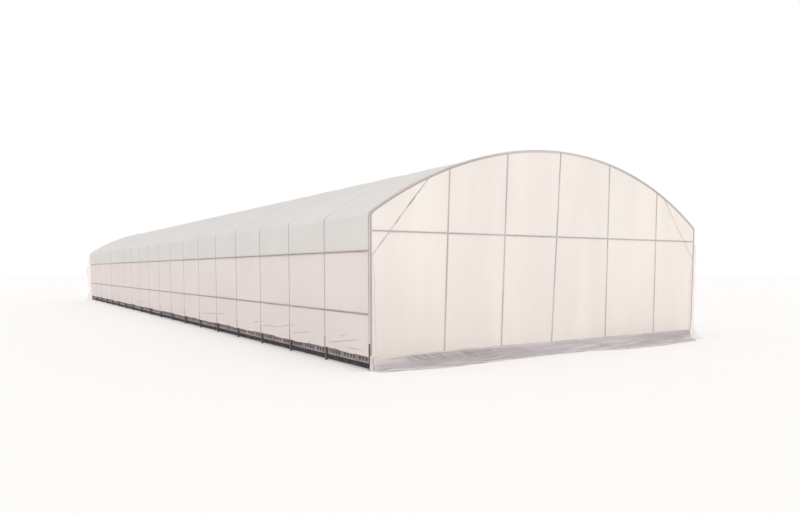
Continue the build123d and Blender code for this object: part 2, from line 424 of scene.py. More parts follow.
class Finish(Nodes):
    """A material made of nodes round one Principled shader, with some of its sockets set to start with."""

    def __init__(self, name, **fixed):
        self.material = bpy.data.materials.new(name)
        super().__init__(self.material)
        self.shader = self.tree.nodes["Principled BSDF"]
        for socket, value in fixed.items():
            self.feed(socket.replace("_", " "), value)
        self.place = self.node("ShaderNodeTexCoord", output="Object")
        axes = [self.node("ShaderNodeSeparateXYZ", inputs={0: self.place}, output=axis) for axis in "XYZ"]
        self.x, self.y, self.z = axes

    def feed(self, socket, value):
        """Link or set a socket of the main shader."""
        self.fill(self.shader.inputs[socket], value)

    def noise(self, scale, detail, squeeze=(1, 1, 1), turn=(0, 0, 0)):
        """Cloudy pattern of 0 to 1, with about scale lumps to a metre.

        Along each axis there are as many times more as squeeze says, and the axes may be turned.
        """
        sizes = {"Vector": self.place, "Rotation": turn, "Scale": [1 / share for share in squeeze]}
        spread = self.node("ShaderNodeMapping", {"vector_type": "TEXTURE"}, sizes, output="Vector")
        sizes = {"Vector": spread, "Scale": scale, "Detail": detail}
        return self.node("ShaderNodeTexNoise", inputs=sizes, output="Fac")

    def blend(self, share, first, second):
        """Colour a share of the way from the first to the second."""
        return self.node("ShaderNodeMix", {"data_type": "RGBA"}, {0: share, 6: first, 7: second}, output=2)

    def bump(self, height, depth, strength):
        """Feed a relief of some depth in metres to the surface's direction."""
        sizes = {"Height": height, "Distance": depth, "Strength": strength}
        self.feed("Normal", self.node("ShaderNodeBump", inputs=sizes, output="Normal"))


RUST = colour(104, 70, 50)
# Dark painted into film: painted shade of tubes, sockets and creases, and the skirt's fine dark strokes
LINE_DARK = colour(139, 127, 125)
# Soil colour at the foot of film, which on the gables also serves as painted shade low down
DUST_AND_SHADE = colour(202, 188, 178)
# Painted highlight on the crests of loose film's folds and its rolled edge, and in its glints
FOLD_HIGHLIGHT = colour(240, 235, 233)
# Painted light and shade: one film gets paler tones on the gables, darker on sides and hems, greyer on the
# roof
ROOF_TINT, ROOF_SHADE = colour(233, 230, 227), colour(228, 225, 222)
SIDE_TINT, SIDE_SHADE = colour(242, 232, 229), colour(237, 227, 224)
GABLE_TINT, GABLE_SHADE = colour(254, 247, 240), colour(247, 239, 234)
HEM_TINT, HEM_SHADE = colour(241, 232, 229), colour(231, 222, 219)
SKIRT_TINT, SKIRT_SHADE = colour(216, 208, 211), colour(202, 194, 198)
FILM_GLOW = 0.26  # share of the light that comes from behind


def zinc(name, pale, dark, rust_height=0.0, metal=0.55):
    """Galvanised steel: two greys in soft spangle, duller patches, and a little rust below a height."""
    finish = Finish(name, Metallic=metal)
    spangle = finish.noise(150, 2)
    patches = finish.noise(3, 4)
    grey = finish.blend(0.5 * spangle.rising(0.3, 0.7) + 0.5 * patches.rising(0.3, 0.7), dark, pale)
    if rust_height:
        rusty = finish.noise(22, 5).rising(0.42, 0.62) * finish.z.rising(rust_height, 0.0)
        grey = finish.blend(rusty, grey, RUST)
    finish.feed("Base Color", grey)
    finish.feed("Roughness", 0.42 + 0.25 * patches)
    finish.bump(spangle, 0.0004, 0.3)
    return finish.material


def off_hoops(finish):
    """Distance along the tunnel to the nearest hoop."""
    bays_along = (finish.y - front_y) * (1 / bay)
    return abs(bays_along - bays_along.nearest_whole()) * bay


def near_hoops(finish):
    """1 where film lies on a hoop, falling to 0 beside it."""
    return off_hoops(finish).rising(TUBE_RADIUS * 1.25, TUBE_RADIUS * 0.55)


def roof_lines(finish):
    """Painted shade of hoops under the roof: above the eaves it fades in and out, as the film lifts off them.

    The foremost stretch lies on its hoops everywhere.
    """
    lies_on = finish.noise(0.7, 2, (1, 3, 1)).rising(0.36, 0.6).higher_of(finish.y.rising(-12.2, -12.7))
    above_eave = finish.z.rising(EAVE_HEIGHT - 0.05, EAVE_HEIGHT + 0.25)
    return near_hoops(finish) * (1 - above_eave * (1 - 0.55 * lies_on))


def side_lines(finish):
    """Painted shade of legs behind side film, darker still at the sockets round their feet, and of thin
    creases.
    """
    at_socket = off_hoops(finish).rising(SOCKET_RADIUS * 1.2, SOCKET_RADIUS * 0.7)
    at_socket = at_socket * finish.z.rising(socket_top + 0.01, socket_top - 0.01)
    total = near_hoops(finish).higher_of(1.5 * at_socket)
    for (start_y, start_z), (end_y, end_z) in APRON_CREASE_SHADOWS:
        slope = (end_z - start_z) / (end_y - start_y)
        off_crease = abs(finish.z - start_z - slope * (finish.y - start_y))
        ends = finish.y.rising(end_y, end_y + 0.5) * finish.y.rising(start_y, start_y - 0.15)
        total = total.higher_of(off_crease.rising(0.011, 0.004) * ends * 0.85)
    return total


def skirt_lines(finish):
    """Long slanting lines of painted crease shade, a strip of fine dark slanting strokes left of the first
    posts, and a painted shadow of one thin crease between that strip and the corner. All is a little darker
    to the left."""
    long_ones = finish.noise(6, 1, (0.07, 3, 3), (0, 0.05, 0.05)).rising(0.5, 0.68)
    crossed = finish.noise(5, 1, (0.09, 3, 3), (0, -0.07, -0.06)).rising(0.55, 0.7)
    strokes = finish.noise(22, 1, (0.12, 0.1, 3), (0, 0.42, 0)).rising(0.35, 0.7)
    strip = finish.z.rising(0.04, 0.14) * finish.z.rising(floor_top - 0.005, floor_top - 0.05)
    strip = strip * finish.x.rising(-3.7, -3.3) * finish.x.rising(-0.9, -2.1)
    crease = abs(finish.z - 0.165).rising(0.016, 0.004)
    crease = crease * finish.x.rising(-3.95, -3.7) * finish.x.rising(-3.1, -3.4)
    # Fine dark strokes in the strip, and the thin crease's painted shadow
    strokes_and_crease_shade = (strip * (0.15 + 0.75 * strokes)).higher_of(0.45 * crease)
    to_left = finish.x.rising(0.8, -2.8) * finish.x.rising(-3.9, -3.3)
    return (0.33 * long_ones.higher_of(crossed)).higher_of(strokes_and_crease_shade) + 0.08 * to_left


def off_line(finish, foot, head):
    """Distance across a gable from the line between two points, given as x and z, and the place along it."""
    along = np.subtract(head, foot) / np.linalg.norm(np.subtract(head, foot))
    out, up = finish.x - foot[0], finish.z - foot[1]
    return abs(out * along[1] - up * along[0]), out * along[0] + up * along[1]


def near_end_hoop(finish):
    """1 where gable film lies on the end hoop: the distance to its roof arc, its eaves or its legs.

    The distance to an eave counts only in the corner between roof and leg.
    """
    far = abs(finish.x)
    beside, above = far - bend_middle_x, finish.z - bend_middle_z
    off_eave = abs((beside * beside + above * above).root() - EAVE_BEND_RADIUS)
    past_roof = beside - math.tan(roof_angle) * above
    off_eave = off_eave + past_roof.rising(0.006, 0.0) + above.rising(0.006, 0.0)
    up = finish.z - roof_middle_z
    off_roof = abs((far * far + up * up).root() - roof_radius)
    apart = off_eave.lower_of(off_roof).lower_of(abs(far - half_span))
    return apart.rising(TUBE_RADIUS * 1.2, TUBE_RADIUS * 0.7)


def gable_lines(finish):
    """Painted shade of the end hoop, posts and knee braces behind gable film, fainter where it hangs off
    them.
    """
    total = near_end_hoop(finish) * (0.6 + 0.4 * abs(finish.x).rising(0.5, 2.5))
    pressed = 0.78 + 0.22 * finish.noise(1.3, 2).rising(0.35, 0.6)
    for foot, head in zip(POST_FEET, POST_HEADS):
        apart = off_line(finish, (foot, floor_top), (head, roof_height(head)))[0]
        total = total.higher_of(apart.rising(TUBE_RADIUS * 1.4, TUBE_RADIUS * 0.7) * pressed)
    head_z = roof_height(BRACE_HEAD_PLACE)
    length = math.hypot(half_span - BRACE_HEAD_PLACE, head_z - BRACE_FOOT_HEIGHT)
    lies_on = finish.noise(3, 2).rising(0.35, 0.6)
    for side, strength in ((-1, 1.0), (1, 0.55)):
        start, end = (side * half_span, BRACE_FOOT_HEIGHT), (side * BRACE_HEAD_PLACE, head_z)
        apart, reach = off_line(finish, start, end)
        line = apart.rising(BRACE_RADIUS * 1.3, BRACE_RADIUS * 0.5) * reach.rising(0.0, 0.02)
        line = line * reach.rising(length, length - 0.02)
        total = total.higher_of(line * (0.35 + 0.65 * strength * lies_on))
    return total


def over_folds(finish, body):
    """Colour of loose film over its main one: painted highlights on its folds and painted glints, and like
    the gable's film where it comes over the floor's edge and at the left corner."""
    height = finish.node("ShaderNodeAttribute", {"attribute_name": "relief"}, output="Fac")
    body = finish.blend(height.rising(0.2, 0.9) * 0.6, body, FOLD_HIGHLIGHT)
    glints = finish.noise(6, 1, (0.06, 3.2, 3.2), (0, -0.04, 0.03)).rising(0.56, 0.68)
    body = finish.blend(glints * 0.7, body, FOLD_HIGHLIGHT)
    over_edge = finish.z.rising(floor_top - 0.05, floor_top) * (0.3 + 0.5 * finish.x.rising(1, -3))
    at_corner = finish.z.rising(0.05, 0.2) * finish.x.rising(-3.1, -3.7) * 0.75
    return finish.blend(over_edge.higher_of(at_corner), body, GABLE_SHADE)


def film(name, tint, shade, lines=None, line_depth=0.75, see_through=0.05, creases=(1, 1, 1),
         bands=(1, 1, 1), loose=False, painted_shade_low=False):
    """Milky film: light that comes through from behind, soft clouds of tint, a little soil at the foot,
    and painted shade in lines where it lies on tubes, which also stop that light. With painted_shade_low
    it has painted shade low down, more to the left; loose film has folds with painted highlights and glints."""
    finish = Finish(name, Roughness=0.42, Alpha=1 - see_through, Specular_IOR_Level=0.3)
    clouds = finish.noise(0.9, 4, bands)
    streaks = finish.noise(5, 4, creases)
    body = finish.blend(clouds.rising(0.3, 0.7), shade, tint)
    body = finish.blend(streaks.rising(0.5, 0.85) * 0.3, body, shade)
    earth_and_shade = finish.noise(7, 5, (1, 1, 3)).rising(0.35, 0.75) * finish.z.rising(0.5, 0.2) * 0.16
    # Painted shade towards the ground on the gables, stronger to the left
    if painted_shade_low:
        earth_and_shade = earth_and_shade + finish.z.rising(2.4, 0.2) * (0.08 + 0.14 * finish.x.rising(-1.5, -3.9))
    body = finish.blend(earth_and_shade, body, DUST_AND_SHADE)
    if loose:
        body = over_folds(finish, body)
    glow = FILM_GLOW
    # Painted shade along the lines, where less light also comes through from behind
    if lines:
        dark = lines(finish) * line_depth
        body = finish.blend(dark, body, LINE_DARK)
        glow = FILM_GLOW * (1 - dark)
    finish.feed("Base Color", body)
    finish.bump(streaks + 0.4 * finish.noise(28, 3, creases), 0.008, 0.5)
    front = Value(finish, finish.shader.outputs["BSDF"])
    behind = finish.node("ShaderNodeBsdfTranslucent", inputs={"Color": tint})
    both = finish.node("ShaderNodeMixShader", inputs={0: glow, 1: front, 2: behind})
    finish.fill(finish.tree.nodes["Material Output"].inputs["Surface"], both)
    return finish.material


def concrete():
    """Cast planks: grey in paler and darker patches, with fine dark grain."""
    finish = Finish("plank_concrete_cast", Roughness=0.88)
    patches = finish.noise(2.2, 5)
    grain = finish.noise(90, 3)
    grey = finish.blend(patches.rising(0.32, 0.7), colour(136, 127, 128), colour(164, 155, 154))
    grey = finish.blend(grain.rising(0.3, 0.75) * 0.5, grey, colour(114, 106, 107))
    finish.feed("Base Color", grey)
    finish.bump(grain + patches, 0.003, 0.6)
    return finish.material


def masonry():
    """Dark blocks with a blue cast and soil on them: their dark is partly painted shade from the planks
    above.
    """
    finish = Finish("base_wall_blocks", Roughness=0.92)
    patches = finish.noise(4, 5)
    grain = finish.noise(45, 4)
    # Dark blue greys, partly the blocks' own and partly painted shade from the plank ends above
    dark = finish.blend(patches.rising(0.3, 0.7), colour(56, 53, 63), colour(84, 79, 88))
    dark = finish.blend(grain.rising(0.35, 0.75) * 0.6, dark, colour(76, 63, 56))
    finish.feed("Base Color", dark)
    finish.bump(grain, 0.006, 0.8)
    return finish.material


tube_finish = zinc("tube_zinc_bright", colour(178, 178, 180), colour(138, 139, 142))
socket_finish = zinc("socket_steel_dark", colour(108, 104, 102), colour(74, 71, 70), rust_height=0.25)
rail_finish = zinc("rail_zinc_dull", colour(206, 195, 193), colour(178, 167, 165), metal=0.2)
end_rail_finish = zinc("end_rail_zinc_pale", colour(224, 216, 215), colour(202, 194, 193), metal=0.1)
wire_finish = zinc("spring_wire_coated", colour(150, 140, 135), colour(120, 112, 108), metal=0.2)
roof_finish = film("roof_film_milky", ROOF_TINT, ROOF_SHADE, roof_lines,
                   creases=(1, 0.3, 1), bands=(0.35, 1.3, 1))
side_finish = film("side_film_milky", SIDE_TINT, SIDE_SHADE, side_lines, creases=(1, 0.5, 1))
gable_finish = film("gable_film_milky", GABLE_TINT, GABLE_SHADE, gable_lines,
                    creases=(1.6, 1, 0.3), bands=(1.6, 1, 0.25), painted_shade_low=True)
hem_finish = film("folded_film_milky", HEM_TINT, HEM_SHADE, creases=(2, 2, 0.6))
skirt_finish = film("skirt_film_loose", SKIRT_TINT, SKIRT_SHADE, skirt_lines, line_depth=0.9,
                    see_through=0.12, creases=(0.15, 1.2, 1.2), bands=(0.4, 1.5, 1.5), loose=True)
concrete_finish = concrete()
masonry_finish = masonry()


# Hoops, and the sockets they stand in
def hoop(shape, y):
    """One hoop: two bent tubes from foot to ridge, with a sleeve over the joint and a bolt each side."""
    runs = runs_to(run_down_to(socket_top - TUBE_IN_SOCKET))
    for half in (runs[runs <= 0.001], runs[runs >= -0.001]):
        shape.tube(arch_points(half, y), TUBE_RADIUS, ALONG)
    sleeve = np.linspace(-SLEEVE_REACH, SLEEVE_REACH, 5)
    shape.tube(arch_points(sleeve, y), TUBE_RADIUS + SLEEVE_WALL, ALONG)
    for place in (-RIDGE_BOLT_PLACE, RIDGE_BOLT_PLACE):
        x, z = arch(place)
        bolt = [(x, y - RIDGE_BOLT_REACH, z), (x, y + RIDGE_BOLT_REACH, z)]
        shape.tube(bolt, RIDGE_BOLT_RADIUS, UP, BOLT_SIDES)


def hoops():
    """All hoops, as many to a piece as the frame has to a node."""
    groups = {"front_end_hoop": (0,), "back_end_hoop": (BAYS,)}
    for first in range(1, BAYS, 2):
        groups[f"inner_hoops_{first + 1:02d}_{first + 2:02d}"] = (first, first + 1)
    for node, numbers in groups.items():
        shape = Shape()
        for number in numbers:
            hoop(shape, hoop_places[number])
        shape.piece(f"bent_{node}", tube_finish, "tube_zinc", [node])


def sockets(side, node):
    """Open-topped sockets along one side, each with a bolt that stands out on the inside."""
    shape = Shape()
    bore = SOCKET_RADIUS - SOCKET_WALL
    outline = [(SOCKET_RADIUS, 0.0), (SOCKET_RADIUS, socket_top - 2 * SOCKET_RIM_BEVEL),
               (SOCKET_RADIUS - SOCKET_RIM_BEVEL, socket_top), (bore, socket_top), (bore, 0.0)]
    for y in hoop_places:
        shape.turned((side * half_span, y), outline)
        bolt = [(side * (half_span + end), y, socket_top - SOCKET_BOLT_DROP) for end in SOCKET_BOLT_ENDS]
        shape.tube(bolt, SOCKET_BOLT_RADIUS, UP, BOLT_SIDES)
    shape.piece(f"open_{node}", socket_finish, "socket_steel", [node])


def ridge_purlin():
    """Long tube under the ridge, with a clamp's wire round its underside on both sides of each inner hoop."""
    low, high = node_box("ridge_purlin")
    z = (low[2] + high[2]) / 2
    shape = Shape()
    shape.tube([(0, low[1], z), (0, high[1], z)], PURLIN_RADIUS, UP)
    turn = np.linspace(-CLAMP_LAP, math.pi + CLAMP_LAP, 9)
    for hoop_y in hoop_places[1:-1]:
        for y in (hoop_y - CLAMP_OFF_HOOP, hoop_y + CLAMP_OFF_HOOP):
            loop = [CLAMP_LOOP_RADIUS * np.cos(turn), np.full(9, y), z - CLAMP_LOOP_RADIUS * np.sin(turn)]
            shape.tube(np.stack(loop, axis=1), CLAMP_WIRE_RADIUS, ALONG, 6)
    shape.piece("clamped_ridge_purlin", tube_finish, "tube_zinc", ["ridge_purlin"])


# Gable frames
def gable_frame(y, end):
    """Posts with round foot plates, and knee braces, of one gable."""
    posts, braces = Shape(), Shape()
    plate_top = floor_top + POST_PLATE_THICKNESS
    plate = [(TUBE_RADIUS, floor_top), (POST_PLATE_RADIUS, floor_top), (POST_PLATE_RADIUS, plate_top),
             (TUBE_RADIUS, plate_top)]
    for foot, head in zip(POST_FEET, POST_HEADS):
        top = roof_height(head, -TUBE_RADIUS) + POST_IN_HOOP
        posts.tube([(foot, y, floor_top), (head, y, top)], TUBE_RADIUS, ALONG, 14)
        posts.turned((foot, y), plate)
    for side in (-1, 1):
        foot = np.array([side * (half_span - TUBE_RADIUS), y, BRACE_FOOT_HEIGHT])
        head = np.array([side * BRACE_HEAD_PLACE, y, roof_height(BRACE_HEAD_PLACE) - TUBE_RADIUS])
        braces.tube(np.linspace(foot, head, 6), BRACE_RADIUS, ALONG)
    posts.piece(f"round_{end}_gable_posts", tube_finish, "tube_zinc", [f"{end}_gable_posts"])
    braces.piece(f"round_{end}_knee_braces", tube_finish, "tube_zinc", [f"{end}_knee_braces"])


# Channel rails with their spring wire
def zigzag(count):
    """-1 and 1 in turn."""
    return np.where(np.arange(count) % 2, 1, -1)


def rail_pieces(place, node, rail, wire, finish):
    """The channel, which stands for a node, and the wire in it."""
    rail.piece(f"channel_{node}", finish, "rail_zinc", [node], bend_limit=25)
    wire.piece(f"{place}_spring_wire", wire_finish, "rail_zinc")


def straight_rail(place, node, start, end, out, finish):
    """Channel from start to end, open towards out: each (h, d) of its section lies h up and d out.

    The wire goes from lip to lip with each half pitch.
    """
    start, end, out = (np.array(point, float) for point in (start, end, out))
    rail, wire = Shape(), Shape()
    section = RAIL_SECTION[:, :1] * UP + RAIL_SECTION[:, 1:] * out
    rail.swept(np.array([start + section, end + section]))
    count = int(np.linalg.norm(end - start) / (WIRE_PITCH / 2))
    share = np.linspace(WIRE_END_SHARE, 1 - WIRE_END_SHARE, count)[:, None]
    sway = WIRE_REACH * zigzag(count)[:, None] * UP
    wire.tube(start + (end - start) * share + sway + WIRE_DEPTH * out, WIRE_RADIUS, out, 4)
    rail_pieces(place, node, rail, wire, finish)


def side_rails():
    """Upper and lower rails on both sides."""
    for level, height in (("upper", upper_rail_height), ("lower", lower_rail_height)):
        for name, side in SIDES:
            place, back = f"{name}_{level}", side * rail_low[0]
            start, end = (back, -rail_end_y, height), (back, rail_end_y, height)
            straight_rail(place, f"{place}_film_rail", start, end, (side, 0, 0), rail_finish)


def gable_rail(y, end, out):
    """Level rail across a gable."""
    node = f"{end}_gable_rail"
    low, high = node_box(node)
    back = y + out * TUBE_RADIUS
    start, stop = (low[0], back, gable_rail_height), (high[0], back, gable_rail_height)
    straight_rail(f"{end}_gable", node, start, stop, (0, out, 0), end_rail_finish)


def end_rail(end):
    """Rail bent over an end hoop: its section goes along the hoop's line, d outwards, h along the tunnel."""
    node = f"{end}_end_rail"
    low, high = node_box(node)
    middle_y = (low[1] + high[1]) / 2
    widen = (high[1] - low[1]) / (2 * RAIL_SECTION[:, 0].max())
    runs = runs_to(run_down_to(low[2]))
    rings = [arch_points(runs, middle_y + widen * across, TUBE_RADIUS + depth)
             for across, depth in RAIL_SECTION]
    rail, wire = Shape(), Shape()
    rail.swept(np.stack(rings, axis=1))
    reach = run_down_to(low[2] + END_WIRE_GAP)
    steps = np.linspace(-reach, reach, int(2 * reach / (WIRE_PITCH / 2)))
    sway = END_WIRE_SPREAD * WIRE_REACH * zigzag(len(steps))
    line = arch_points(steps, middle_y + sway, TUBE_RADIUS + WIRE_DEPTH)
    band = arch_points(steps, middle_y, TUBE_RADIUS + WIRE_DEPTH)
    flat_tube(wire, line, band)
    rail_pieces(f"{end}_end", node, rail, wire, end_rail_finish)


def flat_tube(shape, line, band):
    """Thin wire along a line on a curved band: square rings, set out along the band and square to it."""
    ahead = np.gradient(band, axis=0)
    ahead /= np.linalg.norm(ahead, axis=1, keepdims=True)
    out = np.cross(ahead, ALONG)
    rings = [line + WIRE_RADIUS * (a * ahead + b * out) for a, b in ((1, 0), (0, 1), (-1, 0), (0, -1))]
    shape.swept(np.stack(rings, axis=1))


# Film
film_offset = TUBE_RADIUS + FILM_LIFT
outer_film_offset = SOCKET_RADIUS + FILM_LIFT
along = np.linspace(-rail_end_y, rail_end_y, BAYS * STEPS_PER_BAY + 1)
phases = np.random.default_rng(11).uniform(0, 2 * math.pi, 24)


def between_hoops(y):
    """0 on a hoop and 1 midway between two, along the tunnel."""
    return np.abs(np.sin(math.pi * (y - front_y) / bay)) ** 0.8


def ripple(first, second, waves, start):
    """Sum of sines over a surface: each wave is (height, cycles a metre in the first and the second).

    Their phases are taken in order, from a number on.
    """
    return sum(height * np.sin(2 * math.pi * (one * first + two * second) + phase)
               for (height, one, two), phase in zip(waves, phases[start:]))


def roof_film():
    """One sheet from upper rail to upper rail: it sags between hoops, and is creased near the eaves."""
    reach = run_down_to(upper_rail_height + half_rail)
    run, y = np.meshgrid(runs_to(reach), along, indexing="ij")
    free = between_hoops(y)
    on_roof = np.clip((roof_run - np.abs(run)) / 0.8, 0, 1)
    sag = free * (0.003 + 0.009 * on_roof)
    near_eave = np.exp(-((np.abs(run) - roof_run) / 0.5) ** 2)
    creases = free * near_eave * ripple(run, y, [(0.0028, 1.6, 2.1), (0.0022, -2.2, 3.3)], 0)
    soft = free * ripple(run, y, [(0.002, 0.35, 0.7), (0.0015, 0.8, -1.3)], 2)
    points = arch_points(run, y, film_offset - sag + creases + soft)
    made = open_sheet("roof_film_sheet", points, roof_finish, "roof_film", ["roof_film"])
    2 * reach


def side_sheet(node, side, depth, y, z):
    """Sheet of film at a depth outside the legs' line, which stands for a node."""
    points = np.stack([side * (half_span + depth), y, z], axis=-1)
    return open_sheet(f"{node}_sheet", points, side_finish, "side_film", [node])


def vent_film(name, side):
    """Flat film between the two rails of a side, drawn in a little between hoops, rippled at the rails."""
    low, high = lower_rail_height + half_rail, upper_rail_height - half_rail
    z, y = np.meshgrid(np.linspace(low, high, 17), along, indexing="ij")
    free = between_hoops(y)
    middle = np.sin(math.pi * (z - low) / (high - low))
    edge = np.exp(-(high - z) / 0.12) + np.exp(-(z - low) / 0.12)
    gathers = free * edge * ripple(y, z, [(0.0026, 3.1, 0.8), (0.0014, 3.9, -1.1)], 4)
    soft = free * middle * ripple(y, z, [(0.0025, 0.8, 0.3)], 6)
    depth = film_offset - 0.004 * free * middle + gathers + soft
    made = side_sheet(f"{name}_vent_film", side, depth, y, z)
    high - low


def apron_film(name, side):
    """Film from the lower rail to the floor's edge: looser towards its uneven lower edge."""
    high = lower_rail_height - half_rail
    share, y = np.meshgrid(np.linspace(0, 1, 15), along, indexing="ij")
    edge = floor_top + ripple(y, 0, [(0.008, 0.37, 0), (0.005, 1.1, 0), (0.003, 2.9, 0)], 8)
    z = high + (edge - high) * share
    waves = ripple(y, z, [(0.004, 0.9, 0.4), (0.003, 1.9, -0.7), (0.0015, 4.3, 0.9)], 11)
    depth = outer_film_offset + between_hoops(y) * share * (waves - 0.004)
    made = side_sheet(f"{name}_apron_film", side, depth, y, z)
    high - floor_top


def gable_top(x):
    """Height of the hoop's outside over a place across: the roof's arc, then the eave's."""
    far = np.abs(x)
    roof = roof_height(np.minimum(far, half_span), TUBE_RADIUS)
    bend = EAVE_BEND_RADIUS + TUBE_RADIUS
    eave = bend_middle_z + np.sqrt(np.maximum(bend**2 - (far - bend_middle_x) ** 2, 0))
    return np.where(far < (roof_radius + TUBE_RADIUS) * math.sin(roof_angle), roof, eave)


def between_posts(x):
    """0 on a post or leg and 1 midway between two."""
    places = np.array([-half_span, *np.add(POST_FEET, POST_HEADS) / 2, half_span])
    number = np.clip(np.searchsorted(places, x) - 1, 0, len(places) - 2)
    share = (x - places[number]) / (places[number + 1] - places[number])
    return np.sin(math.pi * np.clip(share, 0, 1))


def gable_films(y, end, out):
    """Upper and lower film of a gable, with upright ripples between the posts, both drawn in a little.

    Places across are the sine of even angles, so they are closer together at the legs.
    """
    across = (half_span + TUBE_RADIUS) * np.sin(np.linspace(-math.pi / 2, math.pi / 2, 181))
    base = y + out * outer_film_offset

    def gable_sheet(level, low, top, rows, rise_share, waves, start, drawn_in):
        """Film from low to top, free between the posts as the sine of half a turn times rise_share."""
        x, share = np.meshgrid(across, np.linspace(0, 1, rows))
        z = low + (top - low) * share
        free = between_posts(x) * np.sin(math.pi * rise_share(share))
        lift = free * (ripple(x, z, waves, start) - drawn_in)
        points = np.stack([x, base + out * lift, z], axis=-1)
        node = f"{end}_{level}_gable_film"
        return open_sheet(f"{node}_sheet", points, gable_finish, "gable_film", [node])

    low, top = gable_rail_height + half_rail, gable_top(across)
    waves = [(0.003, 2.3, 0.1), (0.0024, 4.1, -0.2), (0.004, 0.5, 0.3)]
    made = gable_sheet("upper", low, top, 25, lambda share: np.clip(share, 0.02, 0.98), waves, 14, 0.008)
    heights = top - low
    area = np.sum(np.diff(across) * (heights[1:] + heights[:-1]) / 2)
    low, top = floor_top, gable_rail_height - half_rail
    waves = [(0.003, 2.1, 0.1), (0.0024, 3.7, -0.15), (0.005, 0.4, 0.25)]
    made = gable_sheet("lower", low, top, 33, lambda share: share * 0.97, waves, 17, 0.009)
    top - low


def ridged(first, second, waves, start):
    """Highest of several sets of narrow folds: each is (height, lines a metre in the first and the second).

    A fold has the height h (1 - |sin w|)^3 and bends a little on its way, as its phase w sways. It grows
    and fades along the first.
    """
    total = 0
    for (height, one, two), phase in zip(waves, phases[start:]):
        sway = 0.5 * np.sin(1.3 * first + phase) + 0.2 * np.sin(2.6 * first + 4 * second + 2 * phase)
        wave = np.sin(math.pi * (one * first + two * second) + phase + sway)
        strength = np.clip(0.6 + np.sin(1.7 * first + 3 * phase), 0, 1)
        total = np.maximum(total, height * strength * (1 - np.abs(wave)) ** 3)
    return total


def skirt_reach(across, to_end):
    """Reach on the ground at places across: the listed reaches, smoothed, made uneven and drawn in where
    to_end falls to 0 at the ends."""
    knots = np.linspace(across[0], across[-1], len(SKIRT_REACHES))
    reach = np.interp(across, knots, SKIRT_REACHES)
    kernel = np.hanning(9)
    reach = np.convolve(np.pad(reach, 4, mode="edge"), kernel / kernel.sum(), mode="valid")
    reach = reach + ripple(across, 0, [(0.012, 0.9, 0), (0.007, 2.3, 0), (0.004, 5.1, 0)], 20)
    return np.maximum(reach * to_end, SKIRT_LEAST_REACH)


def ground_skirt(y, end, out):
    """Loose foot of a gable's film: over the floor's edge, down to the ground and out on it.

    A point at distance s from the floor's edge goes down a slope to the landing, then out along the
    ground. Sharp creases run mostly along the gable, and the outer edge is rolled up a little.
    """
    node = f"{end}_ground_skirt"
    half_width = node_box(node)[1][0]
    across = np.linspace(-half_width, half_width, 361)
    to_end = np.clip((half_width - np.abs(across)) / SKIRT_END, 0, 1)
    to_end = np.sqrt(to_end * (2 - to_end))
    edge_y = abs(plank_low[1]) + SKIRT_OFF_PLANKS
    landing = abs(y) + SKIRT_LANDING[0] + SKIRT_LANDING[1] * to_end
    drop = np.hypot(landing - edge_y, floor_top)
    length = drop + skirt_reach(across, to_end)
    gone = np.linspace(0, 1, 81)[:, None] * length
    x = np.broadcast_to(across, gone.shape)
    down = np.clip(gone / drop, 0, 1)
    on_ground = np.clip((gone - drop) / SKIRT_BEND, 0, 1)
    creases = ridged(x, gone, [(0.015, 0.35, 3.4), (0.011, -0.45, 6.3), (0.009, 0.8, 8.9)], 3)
    folds = creases + ripple(x, gone, [(0.006, 0.8, 1.1), (0.004, 1.9, -2.2)], 12)
    free = np.clip(gone / 0.04, 0, 1)
    away = edge_y + (landing - edge_y) * down**1.5 + np.maximum(gone - drop, 0)
    away = away + free * (1 - on_ground) * 0.7 * folds
    rolled = np.exp(-(((length - gone - ROLL_PLACE) / ROLL_WIDTH) ** 2))
    z = SKIRT_LIFT + (floor_top - 0.001) * (1 - down) ** 0.9
    z = z + on_ground * (np.maximum(folds, 0) + ROLL_HEIGHT * rolled)
    points = np.stack([x, out * away, z], axis=-1)
    # Heights of folds and of the rolled edge, which the skirt's material lightens as painted highlights
    relief = np.maximum(np.clip(creases / 0.016, 0, 1), rolled)
    made = open_sheet(f"{node}_sheet", points, skirt_finish, "skirt_film", [node], relief)


def hung_edge(name, points):
    """Loose narrow film over a grid of points, each row of which is level: flat, it is as wide there as
    that row is long."""
    made = open_sheet(name, points, hem_finish, "gable_film")


def corner_flap(name, side, y, out, widths, turn):
    """Loose edge of film that hangs outside a corner leg, as wide at each height as its knots say.

    It leaves the leg at an angle from the gable's plane, and sways in and out on its way down.
    """
    heights, spans = zip(*widths)
    z, share = np.meshgrid(np.linspace(heights[0], heights[-1], 90), np.linspace(0, 1, 14), indexing="ij")
    width = np.interp(-z, np.negative(heights), spans)
    width = width * (1 + 0.12 * np.sin(9 * z) + 0.08 * np.sin(23 * z + 1))
    sway = share * width * (0.35 * np.sin(5 * z + 2 * share) + 0.2 * np.sin(14 * z + 3 * share))
    lift = 0.02 * np.sin(math.pi * share) * np.clip(z / 0.3, 0, 1)
    x = side * (half_span + outer_film_offset + 0.003 + share * width * math.cos(turn) + 0.3 * sway)
    away = abs(y) + outer_film_offset + 0.006 + share * width * math.sin(turn) + np.abs(sway) * 0.6 + lift
    points = np.stack([x, out * away, z + 0.004], axis=-1)
    hung_edge(f"{name}_film_flap", points)


